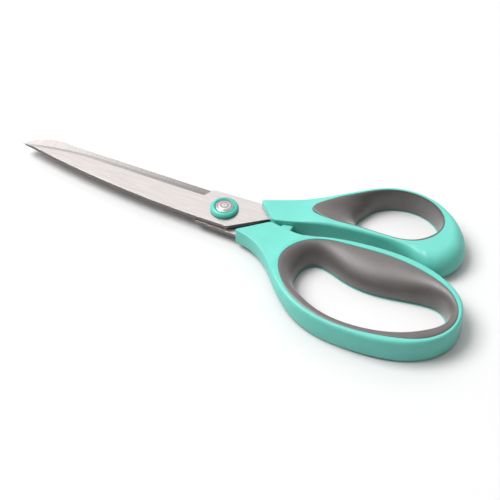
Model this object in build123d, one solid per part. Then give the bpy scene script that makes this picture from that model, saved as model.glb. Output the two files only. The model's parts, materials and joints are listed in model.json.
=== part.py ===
from build123d import *
import math
import os

# Office scissors, closed, lying on a table (z = 0). While modelling, the pivot axis is x = y = 0,
# the blades point to -X and the handles to +X, with the thumb loop on the +Y side. Millimetres.
# At the end everything is moved so that the origin is the middle of the whole box at the table.

# ---- blades ----
blade_thickness = 1.75
blade_gap = 0.3              # held open by the friction washer
contact_z = 6.0              # inner face of the upper blade, above the table
thumb_tip_reach = 103.0      # pivot to the pointed tip
finger_tip_reach = 102.6     # pivot to the blunt tip
thumb_edge_offset = 7.0      # pivot line to the straight part of the thumb blade's edge
thumb_edge_end = 64.0        # from here to the tip the edge is an arc
thumb_tip_offset = 1.0       # pointed tip, on the edge side of the pivot line
thumb_spine_bow = 2.85       # how far the spine bulges between the pivot and the tip
finger_spine_offset = 9.7    # pivot line to the finger blade's straight spine
finger_round_start = 82.0    # from here the spine rounds down to the blunt tip
finger_round_bulge = 6.4     # how far that rounding stands out from its chord
finger_tip_offset = 2.4      # blunt tip's end, on the spine side of the pivot line
finger_tip_cut = (1.2, 1.6)  # its end is cut off this much, lengthwise and across
finger_edge_offset = 8.0     # pivot line to the finger blade's edge beside the ricasso
ricasso_spine = 9.2          # half width of the unground part, spine side
thumb_ricasso = 9.1          # the same on the edge side
finger_ricasso = 9.8
ricasso_flare = 0.8          # that much wider again where the tang begins
ricasso_reach = 9.0          # pivot to the end of the unground part
ricasso_slant = 3.0          # its end slants this much
shoulder_x = 5.6             # rear corner of the blade beside the other handle
bevel_width = 3.1            # ground bevel, measured across the flat face
bevel_turn = 30.0            # degrees that the bevel follows the arc to the pointed tip
edge_land = 0.15             # thickness left at the cutting edge
tang_start = (18.0, 5.5)     # middle of the tang where it enters the handle
tang_angle = 22.0
tang_width = 7.5
tang_length = 14.5
tang_hole_radius = 1.6       # plastic fills it and locks the handle on
tang_hole_share = 0.65       # its place along the tang

# ---- pivot ----
shank_radius = 2.5
shank_clearance = 0.05       # running fit of both blades on the nut's sleeve
screw_radius = 1.5
head_radius = 3.9
head_height = 1.9            # straight part of the screw head
dome_height = 0.6
cap_radius = 6.2
cap_height = 2.1
cap_edge_radius = 1.0
cap_clearance = 0.1          # cap bore round the screw head and round the nut flange
washer_radius = 5.5
spring_thickness = 0.5
flange_thickness = 1.4
slot_width = 1.2             # driver slot in the nut flange
slot_depth = 0.7
thread_gap = 0.3             # left free under the thread and above the slot

# ---- handles ----
loop_thickness = 12.0
neck_top = 10.2
neck_bottom = 2.6
neck_end = 27.0              # the handle starts to thicken here
loop_start = 46.0            # and is at full thickness here
edge_fillet = 1.6            # all round, above and below
lug_x = 26.6                 # stop lug between the two necks
lug_length = 5.0
lug_bottom = 3.6
lug_top = 8.4
lug_root = 3.0               # how far the lug reaches into the finger handle
lug_gap = 0.1                # left between the lug and the thumb handle when closed
sole_thickness = 1.4         # hard plastic left under the grips
grip_recess = 0.4            # the grips end this far below the rims
core_share = 0.45            # how far the hard core reaches under the grip towards the hole
lip_width = 1.0              # width of the grip round the top of the opening
belly_height = 6.5           # the opening is narrowest up to here, then flares
belly_share = 0.35           # share of the flare that is open at that height
opening_start = 1.0          # the opening's sides are set out from this far below the table

# ---- cutting tools ----
overrun = 5.0                # tools reach this far past what they cut
through = 4.0                # hole tools are this many times as long as the hole
side_reach = 400.0           # half length and half width of the handles' side profile

# Outlines run anticlockwise. A handle's first two points are the corners of its front wall.
finger_outline = [
    (22.4, -0.4), (10.1, -11.6),
    (19.0, -14.0), (29.0, -21.0), (36.6, -30.0), (46.5, -38.9), (60.0, -44.6), (75.0, -46.1),
    (91.0, -44.4), (104.0, -38.6), (112.3, -29.5), (114.7, -18.5), (111.5, -8.6), (103.0, -2.4),
    (90.0, 2.3), (75.0, 3.7), (60.0, 2.5), (48.5, 0.0), (39.0, -2.7), (30.5, -1.9),
]
finger_rim = [
    (35.2, -18.0), (40.2, -29.9), (51.1, -39.3), (63.5, -43.5), (77.0, -44.1), (92.9, -41.4),
    (106.7, -33.8), (113.0, -22.5), (108.4, -9.5), (95.1, -2.5), (76.4, 0.4), (58.8, -0.6),
    (42.5, -5.0),
]
finger_hole = [
    (42.3, -18.0), (47.0, -29.4), (55.1, -36.2), (65.5, -40.0), (77.0, -40.6), (91.0, -37.6),
    (102.8, -30.6), (109.4, -21.5), (104.2, -11.6), (93.0, -10.6), (75.5, -13.4), (58.8, -11.2),
    (46.0, -9.2),
]
thumb_outline = [
    (12.8, 9.9), (22.9, 0.6),
    (32.0, 3.3), (42.0, 5.9), (54.0, 8.0), (66.0, 9.0), (76.0, 8.9), (84.0, 6.8), (91.0, 4.5),
    (97.5, 5.6), (101.6, 11.0), (102.9, 18.5), (100.5, 27.5), (94.2, 35.0), (85.0, 40.9),
    (74.5, 43.2), (63.5, 41.8), (53.5, 36.3), (42.5, 27.4), (31.5, 19.6), (20.5, 13.6),
]
thumb_rim = [
    (35.6, 13.8), (43.0, 10.2), (54.2, 10.4), (67.8, 10.8), (80.7, 12.4), (88.4, 18.6),
    (90.4, 27.5), (84.4, 36.3), (72.3, 40.3), (59.2, 38.1), (46.6, 28.6), (38.2, 19.6),
]
thumb_hole = [
    (52.8, 22.0), (56.0, 16.4), (61.5, 14.2), (70.0, 13.8), (79.0, 15.6), (85.2, 20.6),
    (87.6, 27.6), (82.6, 35.2), (72.0, 38.9), (63.4, 37.2), (57.2, 32.6), (53.8, 27.6),
]


def slab(wire, low, high):
    return extrude(Pos(0, 0, low) * make_face(wire), high - low)


def polygon(points):
    return Polyline(*points, close=True)


def ring_line(points):
    """Smooth closed curve through the points."""
    return Spline(*points, periodic=True)


def handle_line(points):
    """Straight front wall between the first two points, a smooth curve round the rest."""
    return Line(points[0], points[1]) + Spline(*points[1:], points[0])


def mixed(inner, outer, share):
    """Outline between two others with as many points: share 0 is the inner, 1 the outer."""
    return [(a[0] + share * (b[0] - a[0]), a[1] + share * (b[1] - a[1]))
            for a, b in zip(inner, outer)]


def inset(points, distance):
    """Outline moved inwards, each point square to the line through its two neighbours."""
    moved = []
    for i, (x, y) in enumerate(points):
        before = points[i - 1]
        after = points[(i + 1) % len(points)]
        run_x = after[0] - before[0]
        run_y = after[1] - before[1]
        length = math.hypot(run_x, run_y)
        moved.append((x - distance * run_y / length, y + distance * run_x / length))
    return moved


def ruled(low_points, low_z, high_points, high_z):
    """Solid with straight sides from one outline up to another."""
    low = Pos(0, 0, low_z) * make_face(ring_line(low_points))
    high = Pos(0, 0, high_z) * make_face(ring_line(high_points))
    return loft([low, high], ruled=True)


# ---- blades ----
# A blade is modelled with its inner face at z = 0, its flat outer face up and its edge on +Y.
# The finger blade is the same way up until it is turned over about the X axis.

def tang_points(width_sign, along):
    angle = math.radians(tang_angle)
    across = width_sign * tang_width / 2
    return (tang_start[0] + along * math.cos(angle) - across * math.sin(angle),
            tang_start[1] + along * math.sin(angle) + across * math.cos(angle))


def tail_points(ricasso_edge):
    """From the ricasso's edge side round the tang to the blade's rear corner."""
    return [
        (-ricasso_reach, ricasso_edge),
        (tang_start[0] - tang_width / 2, ricasso_edge + ricasso_flare),
        tang_points(1, 0),
        tang_points(1, tang_length),
        tang_points(-1, tang_length),
        tang_points(-1, 0),
        (shoulder_x, -ricasso_spine),
        (0, -ricasso_spine),
    ]


def tang_hole():
    middle = tang_points(0, tang_length * tang_hole_share)
    return Pos(middle[0], middle[1], 0) * Cylinder(tang_hole_radius, through * blade_thickness)


def pivot_hole():
    return Cylinder(shank_radius + shank_clearance, through * blade_thickness)


def bevel_profile(offset):
    """Triangle above the bevel, in the plane across the blade, with the edge at y = offset."""
    rise = blade_thickness - edge_land
    slope = rise / bevel_width
    return [
        (offset - bevel_width, blade_thickness),
        (offset + bevel_width, edge_land - slope * bevel_width),
        (offset + bevel_width, 2 * blade_thickness),
        (offset - bevel_width, 2 * blade_thickness),
    ]


def straight_bevel(offset, start_x, end_x):
    """Cutter for the bevel of a straight edge, with the ricasso's slanted end."""
    profile = make_face(Plane.YZ * polygon(bevel_profile(offset)))
    bar = extrude(Pos(-end_x, 0, 0) * profile, end_x - start_x + ricasso_slant)
    inside = -start_x - ricasso_slant
    return bar & slab(polygon([
        (-end_x, offset - 2 * bevel_width),
        (inside - ricasso_slant / 2, offset - 2 * bevel_width),
        (inside + ricasso_slant, offset + bevel_width),
        (-end_x, offset + bevel_width),
    ]), -blade_thickness, 3 * blade_thickness)


def thumb_blade_shape():
    tip = (-thumb_tip_reach, thumb_tip_offset)
    bend = (-thumb_edge_end, thumb_edge_offset)
    run = thumb_tip_reach - thumb_edge_end
    drop = thumb_edge_offset - thumb_tip_offset
    radius = (run ** 2 + drop ** 2) / (2 * drop)
    middle = (-thumb_edge_end - run / 2,
              thumb_edge_offset - radius + math.sqrt(radius ** 2 - (run / 2) ** 2))
    tail = tail_points(thumb_ricasso)
    heel = (-ricasso_reach - ricasso_slant, thumb_edge_offset)
    spine = (-thumb_tip_reach / 2, (thumb_tip_offset - ricasso_spine) / 2 - thumb_spine_bow)
    outline = ThreePointArc(tip, middle, bend) + Line(bend, heel)
    outline += Polyline(heel, *tail) + ThreePointArc(tail[-1], spine, tip)
    blade = slab(outline, 0, blade_thickness)
    blade -= straight_bevel(thumb_edge_offset, ricasso_reach, thumb_edge_end)
    # the bevel goes on round the arc to the tip as a turned shape about the arc's centre
    centre = Pos(-thumb_edge_end, thumb_edge_offset - radius, 0)
    profile = make_face(Plane.YZ * polygon(bevel_profile(radius)))
    blade -= centre * revolve(profile, Axis.Z, revolution_arc=bevel_turn)
    return blade - pivot_hole() - tang_hole()


def finger_blade_shape():
    round_start = (-finger_round_start, -finger_spine_offset)
    tip = (-finger_tip_reach, -finger_tip_offset)
    chord = (tip[0] - round_start[0], tip[1] - round_start[1])
    length = math.hypot(*chord)
    middle = ((tip[0] + round_start[0]) / 2 - chord[1] / length * finger_round_bulge / 2,
              (tip[1] + round_start[1]) / 2 + chord[0] / length * finger_round_bulge / 2)
    heel = (-ricasso_reach - ricasso_slant, finger_edge_offset)
    tail = tail_points(finger_ricasso)
    edge_tip = (tip[0] + finger_tip_cut[0], tip[1] + finger_tip_cut[1])
    outline = Line(edge_tip, heel) + Polyline(heel, *tail)
    outline += Polyline(tail[-1], (-ricasso_reach, -finger_spine_offset), round_start)
    outline += ThreePointArc(round_start, middle, tip) + Line(tip, edge_tip)
    blade = slab(outline, 0, blade_thickness)
    turn = math.degrees(math.atan2(heel[1] - edge_tip[1], heel[0] - edge_tip[0]))
    edge_length = math.hypot(heel[0] - edge_tip[0], heel[1] - edge_tip[1])
    cutter = straight_bevel(0, -ricasso_slant, edge_length + overrun)
    blade -= Pos(heel[0], heel[1], 0) * Rot(0, 0, turn) * cutter
    return blade - pivot_hole() - tang_hole()


def thumb_blade():
    return Pos(0, 0, contact_z) * thumb_blade_shape()


def finger_blade():
    return Pos(0, 0, contact_z - blade_gap) * Rot(180, 0, 0) * finger_blade_shape()


# ---- pivot ----
upper_face = contact_z + blade_thickness
lower_face = contact_z - blade_gap - blade_thickness
flange_top = lower_face - spring_thickness
flange_bottom = flange_top - flange_thickness


def tube(outer, inner, low, high):
    ring = Cylinder(outer, high - low, align=(Align.CENTER, Align.CENTER, Align.MIN))
    ring -= Cylinder(inner, through * (high - low))
    return Pos(0, 0, low) * ring


def cap_ring(low):
    ring = tube(cap_radius, head_radius + cap_clearance, low, low + cap_height)
    outer = ring.edges().filter_by(GeomType.CIRCLE)
    return fillet(outer.sort_by(Axis.Z)[-2:].sort_by(SortBy.RADIUS)[-1:], cap_edge_radius)


def pivot_cap_top():
    return cap_ring(upper_face)


def pivot_cap_bottom():
    turned = Rot(180, 0, 0) * cap_ring(0)
    return Pos(0, 0, lower_face) * turned


def pivot_screw():
    """Domed head with a plain threaded part that runs down inside the nut's sleeve."""
    dome_radius = (head_radius ** 2 + dome_height ** 2) / (2 * dome_height)
    top = upper_face + head_height
    head = Pos(0, 0, upper_face) * Cylinder(
        head_radius, head_height, align=(Align.CENTER, Align.CENTER, Align.MIN))
    dome = Pos(0, 0, top + dome_height - dome_radius) * Sphere(dome_radius)
    dome &= Pos(0, 0, top + dome_height / 2) * Box(3 * head_radius, 3 * head_radius, dome_height)
    thread_length = upper_face - flange_bottom - slot_depth - thread_gap
    thread = Pos(0, 0, upper_face) * Cylinder(
        screw_radius, thread_length, align=(Align.CENTER, Align.CENTER, Align.MAX))
    return head + dome + thread


def pivot_nut():
    """Sleeve that both blades turn on, with a slotted flange below."""
    sleeve = tube(shank_radius, screw_radius, flange_top, upper_face)
    flange = Pos(0, 0, flange_top) * Cylinder(
        head_radius, flange_thickness, align=(Align.CENTER, Align.CENTER, Align.MAX))
    thread_depth = flange_thickness - slot_depth - thread_gap
    bore = Pos(0, 0, flange_top) * Cylinder(
        screw_radius, thread_depth, align=(Align.CENTER, Align.CENTER, Align.MAX))
    slot = Pos(0, 0, flange_bottom) * Box(3 * head_radius, slot_width, 2 * slot_depth)
    return sleeve + flange - bore - slot


def friction_washer():
    return tube(washer_radius, shank_radius + shank_clearance, contact_z - blade_gap, contact_z)


def spring_washer():
    return tube(head_radius - cap_clearance, shank_radius + shank_clearance, flange_top, lower_face)


# ---- handles ----
def side_profile():
    """Both handles seen from the side: a thinner neck that thickens into the loop."""
    top = Line((-side_reach, neck_top), (neck_end, neck_top))
    top += Spline((neck_end, neck_top), (loop_start, loop_thickness), tangents=((1, 0), (1, 0)))
    top += Line((loop_start, loop_thickness), (side_reach, loop_thickness))
    bottom = Line((side_reach, 0), (loop_start, 0))
    bottom += Spline((loop_start, 0), (neck_end, neck_bottom), tangents=((-1, 0), (-1, 0)))
    bottom += Line((neck_end, neck_bottom), (-side_reach, neck_bottom))
    outline = top + Line((side_reach, loop_thickness), (side_reach, 0)) + bottom
    outline += Line((-side_reach, neck_bottom), (-side_reach, neck_top))
    return extrude(make_face(Plane.XZ * outline), side_reach / 2, both=True)


def grip_block(rim, hole):
    """All that is inside the hard rim, above the sole."""
    inner = mixed(hole, rim, 1 - core_share)
    return ruled(inner, sole_thickness, rim, loop_thickness - grip_recess)


def opening(rim, hole):
    """The hollow for the fingers: narrow and nearly straight below, flared above."""
    top = inset(rim, lip_width)
    belly = mixed(hole, top, belly_share)
    lower = ruled(hole, -opening_start, belly, belly_height)
    upper = ruled(belly, belly_height, top, loop_thickness - grip_recess)
    return lower + upper


def handle(outline, rim, hole, blade):
    body = slab(handle_line(outline), 0, loop_thickness) & side_profile()
    body = fillet(body.edges().filter_by(GeomType.LINE, reverse=True), edge_fillet)
    well = slab(ring_line(rim), loop_thickness - grip_recess, loop_thickness + overrun)
    bore = slab(ring_line(hole), -overrun, overrun)
    return body - grip_block(rim, hole) - well - bore - blade


def grip(rim, hole):
    return grip_block(rim, hole) - opening(rim, hole)


def stop_lug():
    """Block on the finger handle that the thumb handle closes against."""
    block = slab(polygon([
        (lug_x, -lug_root), (lug_x + lug_length, -lug_root),
        (lug_x + lug_length, lug_root + lug_length), (lug_x, lug_root + lug_length),
    ]), lug_bottom, lug_top)
    block -= Pos(0, -lug_gap, 0) * slab(handle_line(thumb_outline), 0, loop_thickness)
    return block.solids().sort_by(Axis.Y)[0]


def build_all():
    upper = thumb_blade()
    lower = finger_blade()
    thumb_side = handle(thumb_outline, thumb_rim, thumb_hole, upper)
    finger_side = handle(finger_outline, finger_rim, finger_hole, lower)
    return {
        "thumb_blade": upper,
        "finger_blade": lower,
        "thumb_handle": thumb_side,
        "finger_handle": finger_side + stop_lug(),
        "thumb_grip": grip(thumb_rim, thumb_hole),
        "finger_grip": grip(finger_rim, finger_hole),
        "pivot_screw": pivot_screw(),
        "pivot_nut": pivot_nut(),
        "pivot_cap_top": pivot_cap_top(),
        "pivot_cap_bottom": pivot_cap_bottom(),
        "friction_washer": friction_washer(),
        "spring_washer": spring_washer(),
    }


pieces = build_all()
box = Compound(children=[Compound(piece.solids()) for piece in pieces.values()]).bounding_box()
to_origin = Pos(-(box.min.X + box.max.X) / 2, -(box.min.Y + box.max.Y) / 2, -box.min.Z)
os.makedirs("parts", exist_ok=True)
for name, piece in pieces.items():
    export_step(to_origin * piece, f"parts/{name}.step")
print("pivot axis at", to_origin.position, "size", box.size)
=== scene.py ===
import json
import math

import bmesh
import bpy
import numpy as np
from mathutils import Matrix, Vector


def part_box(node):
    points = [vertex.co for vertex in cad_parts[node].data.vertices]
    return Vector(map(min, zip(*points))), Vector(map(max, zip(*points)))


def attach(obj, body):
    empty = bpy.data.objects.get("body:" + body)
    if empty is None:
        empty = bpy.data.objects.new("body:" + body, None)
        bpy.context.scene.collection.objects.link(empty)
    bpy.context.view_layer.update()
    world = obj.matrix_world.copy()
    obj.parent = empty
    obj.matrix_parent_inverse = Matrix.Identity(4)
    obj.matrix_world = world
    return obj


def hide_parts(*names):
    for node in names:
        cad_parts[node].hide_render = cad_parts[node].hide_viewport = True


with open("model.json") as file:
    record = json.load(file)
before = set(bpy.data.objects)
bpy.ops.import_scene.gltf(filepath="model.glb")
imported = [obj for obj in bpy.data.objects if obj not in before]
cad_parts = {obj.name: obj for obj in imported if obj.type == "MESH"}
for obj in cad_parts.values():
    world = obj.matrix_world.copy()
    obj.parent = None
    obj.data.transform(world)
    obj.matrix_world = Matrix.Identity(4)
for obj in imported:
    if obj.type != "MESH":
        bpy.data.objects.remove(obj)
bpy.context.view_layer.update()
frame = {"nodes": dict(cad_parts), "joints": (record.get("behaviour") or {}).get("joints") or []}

# The plan coordinates below are millimetres from the pivot axis, the same as in the CAD source.
PIVOT = np.array(frame["joints"][0]["pos_m"][:2] + [0.0])
MM = 0.001
FINGER = "finger_side"
THUMB = "thumb_side"

LOOP_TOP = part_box("finger_handle")[1].z / MM
UPPER_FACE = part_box("thumb_blade")[1].z / MM
LOWER_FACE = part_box("finger_blade")[0].z / MM
CAP_RADIUS = (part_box("pivot_cap_top")[1].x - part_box("pivot_cap_top")[0].x) / 2 / MM

NECK_TOP = 10.2              # upper face of a handle's neck
NECK_BOTTOM = 2.6            # its under face
NECK_END = 38.0              # where along the scissors the necks end and the loops begin
RIDGE_WIDTH = 1.8            # ridge that carries the finger rim at full height past the neck
RIDGE_FALL = 1.0             # slope from the ridge down to the neck
CROWN = 0.12                 # bulge of a handle's side wall
LIP = 0.22                   # rounding of a handle's edge along the grip
LAND = 3.4                   # band round a rim where a handle's lines leave it squarely
FOOT = 0.35                  # rounding of the hole's lower edge
SOLE = 0.25                  # hard plastic that shows under the grips
CORE_LOW, CORE_HIGH = 6.0, 9.0   # heights that shape the hard core inside a grip
SEAT = 0.18                  # how far a grip lies below the handle's upper face
BELLY = 2.6                  # height above the sole where a grip reaches furthest into the hole
RECESS = 0.9                 # how far a grip draws back under its belly

SAMPLE = 0.25                # spacing of an outline's samples while it is worked out
MESH_STEP = 0.75             # spacing of its points in the mesh, where it is straight
BEND_POINTS = 9              # how much closer the points lie where it turns
RIM_SAMPLES = 150            # samples of a rim between two of its points
MATCH_BLUR = 7.0             # length along the outline over which its matches are made smooth
BEND_SHARE = 0.7             # a rounding's largest inset, as a share of the bend's radius
BEND_BLUR = 1.5              # samples over which that bend is averaged
GRIP_AROUND = 420            # points round a grip

FINGER_OUTLINE = [
    (22.4, -0.4), (10.1, -11.6),
    (19.0, -14.0), (29.0, -21.0), (36.6, -30.0), (46.5, -38.9), (60.0, -44.6), (75.0, -46.1),
    (91.0, -44.6), (104.6, -39.3), (113.2, -30.4), (115.1, -19.3), (111.4, -9.5), (103.0, -2.6),
    (90.0, 2.3), (75.0, 3.7), (60.0, 2.5), (48.5, 0.0), (39.0, -2.7), (30.5, -1.9),
]
FINGER_RIM = [
    (35.2, -18.0), (40.2, -29.9), (51.1, -39.3), (63.5, -43.5), (77.0, -44.1), (92.9, -41.4),
    (107.6, -34.6), (113.5, -23.2), (108.6, -10.3), (95.1, -2.7), (76.4, 0.4), (58.8, -0.6),
    (42.5, -5.0),
]
FINGER_HOLE = [
    (42.3, -18.0), (47.0, -29.4), (55.1, -36.2), (65.5, -40.0), (77.0, -40.6), (91.0, -37.6),
    (102.8, -30.6), (109.4, -21.5), (104.2, -11.6), (93.0, -10.6), (75.5, -13.4), (58.8, -11.2),
    (46.0, -9.2),
]
THUMB_OUTLINE = [
    (12.8, 9.9), (22.9, 0.6),
    (32.0, 3.3), (42.0, 5.9), (54.0, 8.0), (66.0, 9.0), (76.0, 8.9), (84.0, 6.8), (91.0, 4.5),
    (97.3, 6.3), (101.3, 11.8), (102.8, 19.0), (100.1, 27.3), (93.7, 34.2), (84.6, 39.6),
    (74.5, 41.9), (63.7, 40.8), (53.8, 35.5), (42.9, 26.7), (31.7, 19.2), (20.5, 13.5),
]
THUMB_RIM = [
    (35.6, 13.8), (43.0, 10.2), (54.2, 10.4), (67.8, 10.8), (80.7, 12.4), (88.4, 18.6),
    (90.4, 27.5), (84.7, 36.3), (72.6, 40.3), (59.3, 37.1), (47.7, 28.1), (38.5, 19.5),
]
THUMB_HOLE = [
    (52.8, 22.0), (56.0, 16.4), (61.5, 14.2), (70.0, 13.8), (79.0, 15.6), (85.2, 20.6),
    (88.6, 28.0), (83.7, 35.8), (72.4, 39.8), (62.8, 37.5), (57.1, 33.0), (54.4, 27.6),
]


# ---- curves ----
def smooth_step(x):
    """0 below 0, 1 above 1, and 3x^2 - 2x^3 between."""
    x = np.clip(x, 0.0, 1.0)
    return x * x * (3 - 2 * x)


def spline(points, at, closed):
    """Cubic spline through points, by chord length. at counts in points: 0 is the first, 1.5 is
    halfway past the second. Each span is the cubic with the slopes m that make the second
    derivative continuous: m0/h0 + 2(1/h0 + 1/h1) m1 + m2/h1 = 3(d0/h0^2 + d1/h1^2)."""
    p = np.array(points, float)
    if closed:
        p = np.vstack([p, p[:1]])
    d = np.diff(p, axis=0)
    h = np.hypot(d[:, 0], d[:, 1])
    n = len(p)
    a = np.zeros((n, n))
    b = np.zeros((n, 2))
    inner = np.arange(1, n - 1)
    a[inner, inner - 1] = 1 / h[:-1]
    a[inner, inner] = 2 * (1 / h[:-1] + 1 / h[1:])
    a[inner, inner + 1] = 1 / h[1:]
    b[inner] = 3 * (d[:-1] / h[:-1, None] ** 2 + d[1:] / h[1:, None] ** 2)
    if closed:
        a[0, [0, 1, n - 2]] = [2 * (1 / h[0] + 1 / h[-1]), 1 / h[0], 1 / h[-1]]
        b[0] = 3 * (d[0] / h[0] ** 2 + d[-1] / h[-1] ** 2)
        a[-1, [0, n - 1]] = [1, -1]
    else:
        a[0, :2] = [2, 1]
        b[0] = 3 * d[0] / h[0]
        a[-1, -2:] = [1, 2]
        b[-1] = 3 * d[-1] / h[-1]
    m = np.linalg.solve(a, b)
    at = np.mod(at, n - 1) if closed else np.clip(at, 0, n - 1)
    i = np.minimum(at.astype(int), n - 2)
    t = (at - i)[:, None]
    hi = h[i][:, None]
    return ((2 * t ** 3 - 3 * t ** 2 + 1) * p[i] + (t ** 3 - 2 * t ** 2 + t) * hi * m[i]
            + (3 * t ** 2 - 2 * t ** 3) * p[i + 1] + (t ** 3 - t ** 2) * hi * m[i + 1])


def even_loop(points, step):
    """A closed line resampled at even steps along its length."""
    p = np.vstack([points, points[:1]])
    along = np.r_[0, np.cumsum(np.hypot(*np.diff(p, axis=0).T))]
    s = np.linspace(0, along[-1], int(along[-1] / step), endpoint=False)
    return np.stack([np.interp(s, along, p[:, k]) for k in (0, 1)], 1)


def blurred(values, sigma):
    """Closed row of values averaged along itself with a bell curve, sigma counted in samples."""
    n = len(values)
    k = np.fft.rfftfreq(n) * 2 * math.pi * sigma
    weights = np.exp(-k * k / 2)
    if values.ndim > 1:
        weights = weights[:, None]
    return np.fft.irfft(np.fft.rfft(values, axis=0) * weights, n, axis=0)


def normals(loop):
    """Unit normals of an anticlockwise closed line, pointing outwards."""
    t = np.roll(loop, -1, 0) - np.roll(loop, 1, 0)
    t /= np.hypot(t[:, 0], t[:, 1])[:, None]
    return np.stack([t[:, 1], -t[:, 0]], 1)


def nearest(points, loop):
    """For each point, the index of the nearest sample of the loop, and the distance to it."""
    index = np.empty(len(points), int)
    gap = np.empty(len(points))
    for start in range(0, len(points), 4000):
        part = points[start:start + 4000]
        d = ((part[:, None, :] - loop[None, :, :]) ** 2).sum(2)
        index[start:start + 4000] = d.argmin(1)
        gap[start:start + 4000] = np.sqrt(d.min(1))
    return index, gap


def relaxed(lines, step):
    """A band of lines, each of samples a step apart. The lines between the first and the last move
    until every point is the mean of its four neighbours, those across weighing (step / gap)^2."""
    p = np.array(lines)
    gap = np.hypot(*(p[-1] - p[0]).T) / (len(p) - 1)
    weight = ((step / gap) ** 2)[None, :, None]
    for _ in range(250):
        along = np.roll(p[1:-1], 1, 1) + np.roll(p[1:-1], -1, 1)
        p[1:-1] = (weight * (p[:-2] + p[2:]) + along) / (2 * weight + 2)
    return p


# ---- meshes ----
def new_piece(name, points, faces, body, material):
    """A closed mesh from points in millimetres from the pivot, its faces turned outwards."""
    mesh = bpy.data.meshes.new(name)
    mesh.from_pydata(points * MM + PIVOT, [], faces)
    piece = bpy.data.objects.new(name, mesh)
    bpy.context.scene.collection.objects.link(piece)
    shape = bmesh.new()
    shape.from_mesh(mesh)
    if shape.calc_volume(signed=True) < 0:
        bmesh.ops.reverse_faces(shape, faces=shape.faces)
    shape.to_mesh(mesh)
    shape.free()
    mesh.shade_smooth()
    mesh.materials.append(material)
    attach(piece, body)
    return piece


def ring_faces(rings, around):
    """Four-sided faces of a grid that closes on itself both ways, like a tyre's."""
    i, j = np.meshgrid(np.arange(rings), np.arange(around), indexing="ij")
    i2 = (i + 1) % rings
    j2 = (j + 1) % around
    quads = np.stack([i * around + j, i * around + j2, i2 * around + j2, i2 * around + j], -1)
    return quads.reshape(-1, 4).tolist()


def stacked(rings):
    """Rings of (plan, height) as one array of points, ring by ring."""
    around = len(rings[0][0])
    return np.vstack([np.column_stack([plan, np.broadcast_to(z, around)]) for plan, z in rings])


# ---- materials ----
def colour(code):
    """Linear red, green, blue and alpha from an sRGB hex code."""
    s = np.array([int(code[k:k + 2], 16) for k in (1, 3, 5)]) / 255
    return tuple(np.where(s <= 0.04045, s / 12.92, ((s + 0.055) / 1.055) ** 2.4)) + (1.0,)


def add_node(tree, kind, values=None, links=None, **settings):
    """Adds a node with its settings and input values, and links other nodes' outputs to it."""
    made = tree.nodes.new(kind)
    for key, value in settings.items():
        setattr(made, key, value)
    for key, value in (values or {}).items():
        made.inputs[key].default_value = value
    for key, output in (links or {}).items():
        tree.links.new(output, made.inputs[key])
    return made


def new_material(name, **shader):
    """A material with one shader, and its tree, shader and position output."""
    made = bpy.data.materials.new(name)
    made.use_nodes = True
    tree = made.node_tree
    tree.nodes.clear()
    values = {key.replace("_", " "): value for key, value in shader.items()}
    surface = add_node(tree, "ShaderNodeBsdfPrincipled", values)
    add_node(tree, "ShaderNodeOutputMaterial", links={"Surface": surface.outputs["BSDF"]})
    place = add_node(tree, "ShaderNodeTexCoord").outputs["Object"]
    return made, tree, surface, place


def noise(tree, vector, size_mm, stretch=(1, 1, 1), detail=2.0):
    """Noise whose blotches are size_mm across, longer along an axis where stretch is above 1."""
    scale = tuple(1 / s for s in stretch)
    spread = add_node(tree, "ShaderNodeMapping", {"Scale": scale}, {"Vector": vector})
    made = add_node(tree, "ShaderNodeTexNoise", {"Scale": 1 / (size_mm * MM), "Detail": detail},
                    {"Vector": spread.outputs["Vector"]})
    return made.outputs["Fac"]


def between(tree, factor, low, high, start=0.3, end=0.7):
    """The factor from start to end turned into a value from low to high."""
    made = add_node(tree, "ShaderNodeMapRange",
                    {"From Min": start, "From Max": end, "To Min": low, "To Max": high},
                    {"Value": factor})
    return made.outputs["Result"]


def tinted(tree, factor, low, high):
    """Two colours mixed by a factor."""
    made = add_node(tree, "ShaderNodeMix", {6: colour(low), 7: colour(high)}, {0: factor},
                    data_type="RGBA")
    return made.outputs[2]


def bumped(tree, surface, height, depth_mm):
    """Raises the surface by the height's range times a depth in millimetres."""
    made = add_node(tree, "ShaderNodeBump", {"Strength": 1.0, "Distance": depth_mm * MM},
                    {"Height": height})
    tree.links.new(made.outputs["Normal"], surface.inputs["Normal"])


def polypropylene(name, low, high, roughness):
    # Polypropylene, injection moulded in a spark-eroded mould: an even, solid colour with a soft
    # wide gloss, broken by a fine grain and by faint waves where the melt shrank.
    made, tree, surface, place = new_material(name, IOR=1.49, Subsurface_Weight=0.08,
                                              Subsurface_Scale=0.002, Specular_IOR_Level=0.5)
    surface.inputs["Subsurface Radius"].default_value = (0.4, 1.0, 0.9)
    waves = noise(tree, place, 9.0)
    grain = noise(tree, place, 0.35)
    shade = tinted(tree, between(tree, waves, 0, 1), low, high)
    tree.links.new(shade, surface.inputs["Base Color"])
    tree.links.new(between(tree, grain, roughness - 0.05, roughness + 0.07),
                   surface.inputs["Roughness"])
    bumped(tree, surface, grain, 0.02)
    return made


def soft_rubber():
    # Thermoplastic elastomer, over-moulded in a blasted mould: dark grey with a soft satin gloss, a
    # fine dry grain and a pale bloom of dust towards grazing angles.
    made, tree, surface, place = new_material(
        "elastomer_overmoulded", IOR=1.5, Sheen_Weight=0.4, Sheen_Roughness=0.5,
        Specular_IOR_Level=1.0)
    patches = noise(tree, place, 6.0)
    grain = noise(tree, place, 0.3, detail=3.0)
    shade = tinted(tree, between(tree, patches, 0, 1), "#403B39", "#494441")
    tree.links.new(shade, surface.inputs["Base Color"])
    tree.links.new(between(tree, grain, 0.42, 0.56), surface.inputs["Roughness"])
    bumped(tree, surface, grain, 0.03)
    return made


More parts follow.
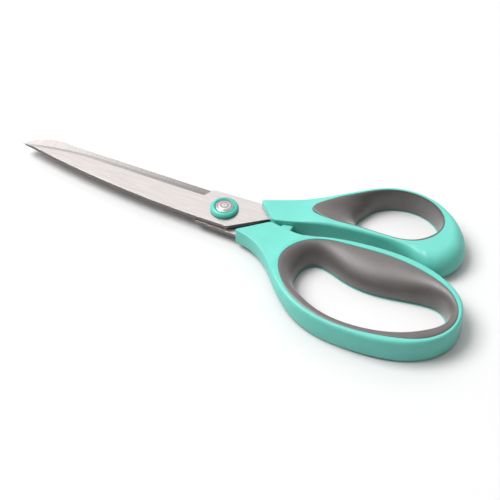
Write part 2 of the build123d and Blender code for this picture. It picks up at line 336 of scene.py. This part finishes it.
def ground_steel(name, low, high, roughness, size_mm, stretch, depth_mm, shaded_to_pivot=False):
    # Stainless steel ground on a belt: hair-fine parallel scratches that draw the reflections out
    # across them. The grit's lines are drawn coarser than the real ones so that they show. The
    # blanked sides are the same steel, duller, with upright tool marks, and darker by painted
    # shade.
    # With the flag set, painted shade darkens the steel from the tips to the pivot.
    made, tree, surface, place = new_material(name, Metallic=1.0)
    lines = noise(tree, place, size_mm, stretch, detail=3.0)
    broad = noise(tree, place, 12.0)
    shade = tinted(tree, between(tree, lines, 0, 1), low, high)
    # Painted shade: the steel is darkened from the tips towards the pivot.
    if shaded_to_pivot:
        far = add_node(tree, "ShaderNodeSeparateXYZ", links={0: place}).outputs["X"]
        painted_darkening = between(tree, far, 1.0, 0.42, -0.095, -0.02)
        shade = add_node(tree, "ShaderNodeVectorMath", links={0: shade, 1: painted_darkening},
                         operation="MULTIPLY").outputs["Vector"]
    tree.links.new(shade, surface.inputs["Base Color"])
    gloss = add_node(tree, "ShaderNodeMath", links={0: between(tree, lines, -0.05, 0.05),
                                                    1: between(tree, broad, roughness - 0.03,
                                                               roughness + 0.03)},
                     operation="ADD")
    tree.links.new(gloss.outputs["Value"], surface.inputs["Roughness"])
    bumped(tree, surface, lines, depth_mm)
    return made


def turned_steel():
    # Nickel-plated steel, turned on a lathe: fine rings round the axis that make the light fan out
    # from the middle. The rings are drawn coarser than the real ones so that they show.
    ring_spacing = 0.25 * MM
    made, tree, surface, place = new_material("steel_turned", Metallic=1.0)
    centre = add_node(tree, "ShaderNodeMapping", {"Location": tuple(-PIVOT)}, {"Vector": place})
    rings = add_node(tree, "ShaderNodeTexWave", {"Scale": 1 / ring_spacing / 20,
                                                 "Distortion": 0.6, "Detail": 1.0,
                                                 "Detail Scale": 2.0},
                     {"Vector": centre.outputs["Vector"]}, wave_type="RINGS", rings_direction="Z")
    shade = tinted(tree, rings.outputs["Fac"], "#989294", "#C9C3C4")
    tree.links.new(shade, surface.inputs["Base Color"])
    tree.links.new(between(tree, rings.outputs["Fac"], 0.26, 0.34, 0, 1),
                   surface.inputs["Roughness"])
    bumped(tree, surface, rings.outputs["Fac"], 0.002)
    return made


def nylon():
    # Nylon, stamped from sheet: milky white and waxy.
    made, tree, surface, place = new_material("nylon_sheet", IOR=1.53, Subsurface_Weight=0.3,
                                              Subsurface_Scale=0.001)
    shade = tinted(tree, noise(tree, place, 2.0), "#D9D5C8", "#E6E3D8")
    tree.links.new(shade, surface.inputs["Base Color"])
    tree.links.new(between(tree, noise(tree, place, 0.5), 0.35, 0.45),
                   surface.inputs["Roughness"])
    return made


TEAL = polypropylene("polypropylene_moulded", "#5CB7AA", "#62BBAE", 0.40)
# A darker copy of the handle plastic for the pivot caps: painted shade.
TEAL_CAP_SHADED = polypropylene("polypropylene_cap_shaded", "#46AFA0", "#4CB3A5", 0.40)
RUBBER = soft_rubber()
BLADE_FLAT = ground_steel("stainless_ground_lengthwise", "#BAB4B2", "#D0CAC8", 0.30,
                          0.22, (60, 1, 1), 0.002)
BLADE_EDGE = ground_steel("stainless_ground_across", "#C5BFBD", "#D9D3D1", 0.27,
                          0.20, (1, 30, 1), 0.003, shaded_to_pivot=True)
# The upright sides: the same steel, duller, and darkened by painted shade.
BLADE_SIDE_SHADED = ground_steel("stainless_blanked_shaded", "#6A6664", "#7C7876", 0.38,
                          0.25, (1, 1, 8), 0.003)
TURNED = turned_steel()
NYLON = nylon()


# ---- handles ----
def outline_loop(points, step):
    """The handle's outline: a straight front wall from the first point to the second, then a
    spline round to the first again, with both corners rounded."""
    spans = len(points) - 1
    curve = spline(points[1:] + points[:1], np.linspace(0, spans, spans * 120), False)
    ends = np.array(points[:2], float)
    front = ends[0] + np.linspace(0, 1, 200)[1:-1, None] * (ends[1] - ends[0])
    loop = even_loop(np.vstack([front, curve]), step)
    return blurred(loop, 1.0 / step)


def handle(name, node, outline, rim, hole, ridge, fillet, pull, body):
    """A tyre-like grid. One parameter runs round the outline, the other across: out from the
    grip's rim over the top, down the side wall, in underneath to the hole and back up under the
    grip. Each outline sample is joined to the nearest rim point, and those matches are made
    smooth along the outline. Roundings are quarter ellipses: inset a(1 - sin q), drop b(1 - cos q).
    No inset passes a share of the outline's bend radius there, which keeps lines from crossing,
    and the lines of the top and the underside are then relaxed. fillet(x, y) gives the inset and
    drop of the top rounding and of the bottom one at an outline point. pull moves the neck's
    samples before they are matched, so that the lines fan out evenly."""
    fine = outline_loop(outline, SAMPLE)
    count = len(rim)
    keys = np.arange(count * RIM_SAMPLES) / RIM_SAMPLES
    rim_fine = spline(rim, keys, True)
    lean = np.array(pull)[None, :] * smooth_step((NECK_END - fine[:, :1]) / 20)
    match = nearest(fine + lean, rim_fine)[0]
    match = np.unwrap(match * (2 * math.pi / len(keys))) * count / (2 * math.pi)
    turn = np.arange(len(fine)) * (count / len(fine))
    match = turn + blurred(match - turn, MATCH_BLUR / SAMPLE)

    wall = normals(fine)
    bend = np.abs(np.cross(wall, np.roll(wall, 1, 0)))
    density = 1 / MESH_STEP + blurred(bend, 3) * BEND_POINTS
    along = np.r_[0, np.cumsum(density * SAMPLE)]
    around = int(along[-1])
    at = np.interp(np.arange(around) * along[-1] / around, along, np.arange(len(fine) + 1))
    low = at.astype(int) % len(fine)
    part = (at % 1)[:, None]
    edge = fine[low] * (1 - part) + fine[(low + 1) % len(fine)] * part
    gaps = np.hypot(*(np.roll(fine, -1, 0) - fine).T)
    room = BEND_SHARE / np.maximum(blurred(bend / gaps, BEND_BLUR), 0.1) - CROWN
    wall = wall[low] * (1 - part) + wall[(low + 1) % len(fine)] * part
    wall /= np.hypot(wall[:, 0], wall[:, 1])[:, None]
    match_end = np.r_[match, match[0] + count]
    key = match_end[low] * (1 - part[:, 0]) + match_end[low + 1] * part[:, 0]

    edge = edge - wall * CROWN
    inner = spline(rim, key, True)
    bore = spline(hole, key, True)
    side = spline(rim, key + 0.01, True) - spline(rim, key - 0.01, True)
    side /= np.hypot(side[:, 0], side[:, 1])[:, None]
    leave = np.stack([side[:, 1], -side[:, 0]], 1)

    def top(plan):
        """The upper face climbs from the neck to the loop, and more steeply along a ridge."""
        plateau = NECK_TOP + (LOOP_TOP - NECK_TOP) * smooth_step((plan[:, 0] - 27.0) / 19.0)
        if not ridge:
            return plateau
        gap = nearest(plan, rim_fine)[1]
        raised = 1 - smooth_step((gap - RIDGE_WIDTH) / RIDGE_FALL)
        climb = smooth_step((plan[:, 0] - 32.0) / 2.0)
        return plateau + (LOOP_TOP - 0.05 - plateau) * raised * climb

    def bottom(plan):
        """The under face falls from the neck to the table."""
        return NECK_BOTTOM * (1 - smooth_step((plan[:, 0] - 30.0) / 36.0))

    top_in, top_drop, low_in, low_drop = fillet(edge[:, 0], edge[:, 1])
    chord = inner - edge
    reach = np.hypot(chord[:, 0], chord[:, 1])
    chord /= reach[:, None]
    top_in = np.minimum.reduce([top_in, 0.6 * reach, room[low]])
    low_in = np.minimum.reduce([low_in, 0.7 * reach, room[low]])
    wide = smooth_step((edge[:, :1] - 52) / 14)
    inward = -wall * (1 - wide) + chord * wide
    inward /= np.hypot(inward[:, 0], inward[:, 1])[:, None]

    start = edge + inward * top_in[:, None]
    span = start - inner
    length = np.hypot(span[:, 0], span[:, 1])
    lip = leave * np.minimum(LIP, 0.05 * length)[:, None]
    rings = [(inner, top(inner) - 0.35), (inner + lip * 0.3, top(inner) - 0.12),
             (inner + lip, top(inner) - 0.02)]
    land = np.minimum(LAND, 0.5 * length)
    on_land = [0.13, 0.26, 0.41, 0.53, 0.62, 0.71, 0.79, 0.88]
    beyond = list(np.linspace(1, 2, 12))
    lines = []
    for share in on_land + beyond:
        s = land * min(share, 1) + (length - land) * max(share - 1, 0)
        t = (s / length)[:, None]
        w = smooth_step(t / 0.7)
        lines.append(inner + leave * s[:, None] * (1 - w) + span * t * w)
    lines[len(on_land):] = relaxed(lines[len(on_land):], MESH_STEP)
    rings += [(plan, top(plan)) for plan in lines[:-1]]
    crest = top(start)
    base_plan = edge - wall * low_in[:, None]
    base = bottom(base_plan)
    middle = (crest + base) / 2
    half = (crest - base) / 2

    def crowned(plan, z):
        """The side wall bulges most at mid height."""
        return plan + wall * (CROWN * (1 - ((z - middle) / half) ** 2))[:, None]

    for q in np.linspace(0, math.pi / 2, 9):
        z = crest - top_drop * (1 - math.cos(q))
        rings.append((crowned(edge + inward * (top_in * (1 - math.sin(q)))[:, None], z), z))
    for share in (0.25, 0.5, 0.75):
        z = (crest - top_drop) * (1 - share) + (base + low_drop) * share
        rings.append((crowned(edge, z), z))
    for q in np.linspace(math.pi / 2, 0, 7):
        z = base + low_drop * (1 - math.cos(q))
        rings.append((crowned(edge - wall * (low_in * (1 - math.sin(q)))[:, None], z), z))
    under = rings[-1][0]
    out = inner - bore
    thick = np.hypot(out[:, 0], out[:, 1])[:, None]
    out = out / thick
    foot = np.minimum(FOOT, 0.12 * np.hypot(*(under - bore).T))[:, None]
    lines = [under + (bore + out * foot - under) * share for share in np.linspace(0, 1, 9)]
    rings += [(plan, bottom(plan)) for plan in relaxed(lines, MESH_STEP)[1:-1]]
    rings += [(bore + out * foot, 0.0), (bore + out * foot * 0.3, 0.05), (bore, 0.12),
              (bore, SOLE - 0.06), (bore + out * 0.05, SOLE - 0.01), (bore + out * 0.3, SOLE)]
    core = bore + out * thick * 0.5
    rings += [(core, SOLE), (core, CORE_LOW), (core + out * thick * 0.3, CORE_HIGH)]
    piece = new_piece(name, stacked(rings), ring_faces(len(rings), around), body,
                      TEAL)
    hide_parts(node)


def finger_fillet(x, y):
    """A sharp neck, a rounder loop."""
    loop = smooth_step((x - 28) / 16)
    front = 1 - smooth_step((x - 60) / 45)
    return (0.45 + 1.0 * loop, 0.45 + 1.1 * loop,
            0.6 + loop * (1.4 + 1.9 * front), 0.6 + loop * (1.3 + 3.0 * front))


def thumb_fillet(x, y):
    """As the finger loop's, and a wide fall over the heel."""
    loop = smooth_step((x - 28) / 16)
    heel = smooth_step((x - 66) / 26) * (1 - 0.7 * smooth_step((y - 22) / 20))
    return (0.45 + 1.0 * loop + 9.0 * heel, 0.45 + 1.1 * loop + 6.0 * heel,
            0.6 + 1.6 * loop + 2.4 * heel, 0.6 + 1.4 * loop + 1.6 * heel)


def grip(name, node, rim, hole, flat, body):
    """A tyre-like grid. One parameter runs round the loop, the other across: from the rim, where
    it starts in a fine groove, down to the hole as a quarter of a superellipse with the power n,
    d = D sin(q)^(2/n), z = s + h cos(q)^(2/n), then back along the sole and up the hard core. n is
    2 where the pad looks back to the pivot line and 2 + flat where it looks away from it."""
    key = np.arange(GRIP_AROUND) * (len(rim) / GRIP_AROUND)
    outer = spline(rim, key, True)
    bore = spline(hole, key, True)
    inward = bore - outer
    depth = np.hypot(inward[:, 0], inward[:, 1])[:, None]
    inward = inward / depth
    crest = LOOP_TOP - SEAT
    height = crest - SOLE
    rings = [(outer + inward * 0.02, crest - 0.5), (outer + inward * 0.05, crest - 0.22),
             (outer + inward * 0.16, crest - 0.05)]
    power = 2 / (2 + flat * smooth_step(inward[:, 1:] * 1.3))
    belly = SOLE + BELLY
    for q in np.linspace(0, math.pi / 2, 24)[1:-1]:
        rings.append((outer + inward * depth * math.sin(q) ** power,
                      belly + (crest - belly) * math.cos(q) ** power[:, 0]))
    for q in np.linspace(0, math.pi / 2, 8)[:-1]:
        rings.append((bore - inward * RECESS * (1 - math.cos(q)), belly - BELLY * math.sin(q)))
    rings += [(bore - inward * depth * 0.45, SOLE + 0.03),
              (bore - inward * depth * 0.45, SOLE + 0.45 * height),
              (bore - inward * depth * 0.75, SOLE + 0.6 * height)]
    piece = new_piece(name, stacked(rings), ring_faces(len(rings), GRIP_AROUND), body,
                      RUBBER)
    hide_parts(node)


def stop_lug():
    """A block with rounded corners: on a grid of two angles, each of its three coordinates is a
    sine or cosine raised to the power 0.3, its tip sheared to lie along the thumb handle."""
    middle_x, half_length = 29.1, 2.5
    root_y, tip_y, tip_slope = -3.0, 1.6, 0.292
    middle_z, half_height = 6.0, 2.4
    around, up = 64, 33
    a = np.arange(around) * (2 * math.pi / around)
    b = np.linspace(-math.pi / 2, math.pi / 2, up + 2)[1:-1]

    def power(v):
        return np.sign(v) * np.abs(v) ** 0.3

    ca, sa = power(np.cos(a)), power(np.sin(a))
    cb, sb = power(np.cos(b)), power(np.sin(b))
    x = middle_x + half_length * cb[:, None] * ca[None, :]
    tip = tip_y + (x - (middle_x - half_length)) * tip_slope
    y = root_y + (tip - root_y) * (cb[:, None] * sa[None, :] + 1) / 2
    z = np.broadcast_to(middle_z + half_height * sb[:, None], x.shape)
    poles = [[middle_x, -0.5, middle_z - half_height], [middle_x, -0.5, middle_z + half_height]]
    points = np.vstack([np.stack([x, y, z], -1).reshape(-1, 3), poles])
    i, j = np.meshgrid(np.arange(up - 1), np.arange(around), indexing="ij")
    j2 = (j + 1) % around
    faces = np.stack([i * around + j, i * around + j2, (i + 1) * around + j2,
                      (i + 1) * around + j], -1).reshape(-1, 4).tolist()
    last = (up - 1) * around
    ends = np.arange(around)
    faces += np.stack([(ends + 1) % around, ends, np.full(around, up * around)], -1).tolist()
    faces += np.stack([last + ends, last + (ends + 1) % around,
                       np.full(around, up * around + 1)], -1).tolist()
    new_piece("stop_lug", points, faces, FINGER, TEAL)


# ---- pivot ----
def turned(name, profile, around, body, material):
    """A closed profile of (radius, height) turned about the pivot axis into a ring."""
    a = np.arange(around) * (2 * math.pi / around)
    rings = [(np.stack([r * np.cos(a), r * np.sin(a)], 1), z) for r, z in profile]
    return new_piece(name, stacked(rings), ring_faces(len(rings), around), body, material)


def arc(centre, radii, start, end, count):
    """Points on an ellipse's arc, angles in degrees."""
    q = np.radians(np.linspace(start, end, count))
    return list(zip(centre[0] + radii[0] * np.cos(q), centre[1] + radii[1] * np.sin(q)))


def cap_ring(name, node, face, out):
    """A flat ring whose outer edge is a quarter of an ellipse 1.7 mm wide and 1.5 high, whose inner
    edge is rounded by 0.5, and whose foot lies on the blade. out is 1 upwards, -1 downwards."""
    height, bore = 2.1, 4.02
    inside = 0.5
    wide, deep = 1.7, 1.5
    profile = [(bore, 0), (bore, height - inside)]
    profile += arc((bore + inside, height - inside), (inside, inside), 180, 90, 6)[1:]
    profile += arc((CAP_RADIUS - wide, height - deep), (wide, deep), 90, 0, 11)
    profile += [(CAP_RADIUS, 0.35), (CAP_RADIUS - 0.12, 0.0)]
    profile = [(r, face + out * z) for r, z in profile]
    piece = turned(name, profile, 120, FINGER, TEAL_CAP_SHADED)
    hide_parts(node)


# ---- CAD shapes carried over ----
def softened(name, node, body, slot, width_mm, *materials):
    """A copy of a CAD node with its vertices merged and its edges rounded. Edges that turn by more
    than sharp_angle are the ones rounded."""
    sharp_angle = math.radians(15)
    mesh = bpy.data.meshes.new_from_object(frame["nodes"][node])
    mesh.transform(frame["nodes"][node].matrix_world)
    mesh.name = name
    shape = bmesh.new()
    shape.from_mesh(mesh)
    bmesh.ops.remove_doubles(shape, verts=shape.verts, dist=1e-6)
    bmesh.ops.dissolve_limit(shape, angle_limit=math.radians(0.5), verts=shape.verts,
                             edges=shape.edges)
    shape.to_mesh(mesh)
    shape.free()
    mesh.materials.clear()
    for material in materials:
        mesh.materials.append(material)
    mesh.shade_smooth()
    mesh.set_sharp_from_angle(angle=sharp_angle)
    piece = bpy.data.objects.new(name, mesh)
    bpy.context.scene.collection.objects.link(piece)
    bevel = piece.modifiers.new("Rounded edges", "BEVEL")
    bevel.width = width_mm * MM
    bevel.segments = 2
    bevel.limit_method = "ANGLE"
    bevel.angle_limit = sharp_angle
    bevel.harden_normals = True
    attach(piece, body)
    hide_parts(node)
    return piece


def face_places(mesh):
    """Centres and normals of a mesh's faces, centres in millimetres from the pivot."""
    n = len(mesh.polygons)
    centres = np.empty(n * 3)
    facing = np.empty(n * 3)
    mesh.polygons.foreach_get("center", centres)
    mesh.polygons.foreach_get("normal", facing)
    return (centres.reshape(-1, 3) - PIVOT) / MM, facing.reshape(-1, 3)


def blade(name, node, body, ground):
    """A blade whose upright sides are as blanked and darkened by painted shade, and whose ground
    faces, those that ground(centres, normals) picks, are ground across and painted darker towards
    the pivot."""
    piece = softened(name, node, body, "blade_steel", 0.08, BLADE_FLAT, BLADE_EDGE, BLADE_SIDE_SHADED)
    centres, facing = face_places(piece.data)
    picked = np.where(np.abs(facing[:, 2]) < 0.3, 2, ground(centres, facing))
    piece.data.polygons.foreach_set("material_index", picked.astype(np.int32))


handle("finger_handle_shell", "finger_handle", FINGER_OUTLINE, FINGER_RIM, FINGER_HOLE,
       True, finger_fillet, (0, 9), FINGER)
handle("thumb_handle_shell", "thumb_handle", THUMB_OUTLINE, THUMB_RIM, THUMB_HOLE,
       False, thumb_fillet, (0, -3), THUMB)
grip("finger_grip_pad", "finger_grip", FINGER_RIM, FINGER_HOLE, 3.0, FINGER)
grip("thumb_grip_pad", "thumb_grip", THUMB_RIM, THUMB_HOLE, 0.0, THUMB)
stop_lug()

blade("thumb_blade_ground", "thumb_blade", THUMB,
      lambda c, n: (c[:, 0] < -8) & (n[:, 2] < 0.98) & (n[:, 2] > 0.1))
blade("finger_blade_ground", "finger_blade", FINGER,
      lambda c, n: (c[:, 0] < -8) & (n[:, 2] > 0.1))

cap_ring("pivot_cap_upper", "pivot_cap_top", UPPER_FACE, 1)
cap_ring("pivot_cap_lower", "pivot_cap_bottom", LOWER_FACE, -1)
softened("pivot_nut_slotted", "pivot_nut", FINGER, "pivot_steel", 0.1, TURNED)
softened("pivot_screw_turned", "pivot_screw", FINGER, "pivot_steel", 0.15, TURNED)
for washer, finish in (("friction_washer", NYLON), ("spring_washer", TURNED)):
    mesh = frame["nodes"][washer].data
    mesh.materials.clear()
    mesh.materials.append(finish)


# ---- studio ----
def plain_material(name, low, high, roughness):
    # Painted board: matt white with the faintest unevenness.
    made, tree, surface, place = new_material(name, IOR=1.45, Roughness=roughness)
    tree.links.new(tinted(tree, noise(tree, place, 60.0), low, high), surface.inputs["Base Color"])
    return made


def floor():
    """A flat square, six metres each way."""
    half = 3.0
    corners = np.array([(-1, -1, 0), (1, -1, 0), (1, 1, 0), (-1, 1, 0)], float) * half
    mesh = bpy.data.meshes.new("floor")
    mesh.from_pydata(corners, [], [(0, 1, 2, 3)])
    mesh.materials.append(plain_material("board_painted", "#CDCDCD", "#CFCFCF", 0.9))
    piece = bpy.data.objects.new("floor", mesh)
    bpy.context.scene.collection.objects.link(piece)


def softbox(name, place, target, size, watts):
    """A square light aimed at a point, in metres."""
    lamp = bpy.data.lights.new(name, "AREA")
    lamp.size = size
    lamp.energy = watts
    holder = bpy.data.objects.new(name, lamp)
    holder.location = place
    holder.rotation_euler = (Vector(target) - Vector(place)).to_track_quat("-Z", "Y").to_euler()
    bpy.context.scene.collection.objects.link(holder)


def studio():
    """A pale room that is brightest high at the back left, two softboxes and the camera."""
    scene = bpy.context.scene
    scene.view_settings.view_transform = "Standard"
    world = bpy.data.worlds.new("white_room")
    scene.world = world
    world.use_nodes = True
    tree = world.node_tree
    way = add_node(tree, "ShaderNodeTexCoord").outputs["Generated"]
    towards = add_node(tree, "ShaderNodeVectorMath", {1: (-0.30, 0.40, 0.87)}, {0: way},
                       operation="DOT_PRODUCT")
    glow = between(tree, towards.outputs["Value"], 0.06, 0.85, -0.3, 0.9)
    tree.nodes["Background"].inputs["Color"].default_value = colour("#FFFFFF")
    tree.links.new(glow, tree.nodes["Background"].inputs["Strength"])
    softbox("back_panel", (-0.61, 1.28, 1.41), (0, 0, 0), 1.5, 4)
    softbox("left_softbox", (-0.95, -0.2, 1.55), (0, 0, 0), 1.1, 44)

    lens = bpy.data.cameras.new("camera")
    lens.lens = 102.4
    lens.sensor_width = 36
    lens.clip_start = 0.01
    camera = bpy.data.objects.new("camera", lens)
    place = Vector((0.197288, -0.397635, 0.430264))
    aim = Vector((0.014188, -0.014915, 0.006))
    camera.location = place
    camera.rotation_euler = (aim - place).to_track_quat("-Z", "Y").to_euler()
    scene.collection.objects.link(camera)
    scene.camera = camera


floor()
studio()
